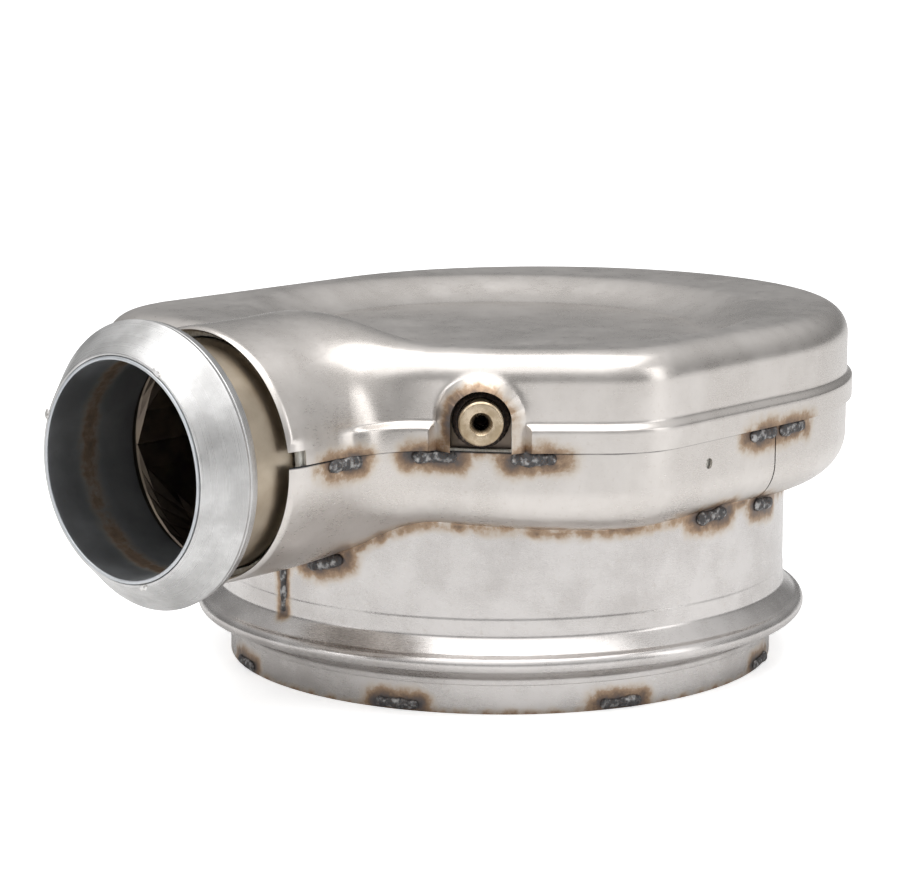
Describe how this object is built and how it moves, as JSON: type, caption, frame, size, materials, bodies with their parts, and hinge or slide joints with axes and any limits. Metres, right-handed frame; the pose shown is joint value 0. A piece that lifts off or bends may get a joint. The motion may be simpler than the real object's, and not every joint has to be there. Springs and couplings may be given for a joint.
{
  "type": "diesel oxidation catalyst",
  "caption": "Diesel oxidation catalyst: stamped heat shield over a round can, side inlet with a V-clamp flange, clamp bead and open outlet rim below.",
  "frame": {"origin": "centre of the bounding box in X and Y, on the plane of the outlet rim", "axes": "-Y points out of the inlet along its axis, +Z is the can axis, from the outlet rim to the top of the heat shield"},
  "size_m": [0.3736, 0.5375, 0.23],
  "materials": {
    "shield_steel": "satin stamped stainless sheet, light grey, brown heat tint beside the welds",
    "can_steel": "satin rolled stainless sheet with brown and blue heat tint",
    "pipe_steel": "stainless tube, heat tinted tan",
    "machined_steel": "bright turned stainless with fine circular tool marks",
    "weld_metal": "dark rough weld metal with brown edges",
    "boss_metal": "turned steel tinted gold by heat",
    "fibre_blanket": "matt pale ceramic fibre",
    "mat_fibre": "matt tan expanding support mat",
    "ceramic_brick": "matt coated honeycomb ceramic"
  },
  "bodies": {
    "root": {"shield_upper": "shield_steel", "shield_lower_front": "shield_steel", "shield_lower_rear": "shield_steel", "insulation_upper": "fibre_blanket", "insulation_lower": "fibre_blanket", "inner_head_upper": "can_steel", "inner_head_lower": "can_steel", "can_body": "can_steel", "pilot_ring": "can_steel", "brick_sleeve": "can_steel", "support_mat": "mat_fibre", "catalyst_brick": "ceramic_brick", "inlet_liner": "pipe_steel", "inlet_pipe": "pipe_steel", "inlet_flange": "machined_steel", "flange_weld": "weld_metal", "liner_tack_1": "weld_metal", "liner_tack_2": "weld_metal", "liner_tack_3": "weld_metal", "sensor_boss": "boss_metal", "boss_weld": "weld_metal", "seam_stitch_01": "weld_metal", "seam_stitch_02": "weld_metal", "seam_stitch_03": "weld_metal", "seam_stitch_04": "weld_metal", "seam_stitch_05": "weld_metal", "seam_stitch_06": "weld_metal", "seam_stitch_07": "weld_metal", "seam_stitch_08": "weld_metal", "seam_stitch_09": "weld_metal", "seam_stitch_10": "weld_metal", "seam_stitch_11": "weld_metal", "can_weld_1": "weld_metal", "can_weld_2": "weld_metal", "can_weld_3": "weld_metal", "can_weld_4": "weld_metal", "can_weld_5": "weld_metal", "can_weld_6": "weld_metal", "rim_weld_1": "weld_metal", "rim_weld_2": "weld_metal", "rim_weld_3": "weld_metal", "rim_weld_4": "weld_metal", "rim_weld_5": "weld_metal", "rim_weld_6": "weld_metal", "rim_weld_7": "weld_metal", "rim_weld_8": "weld_metal", "can_seam_weld": "weld_metal"}
  },
  "joints": []
}
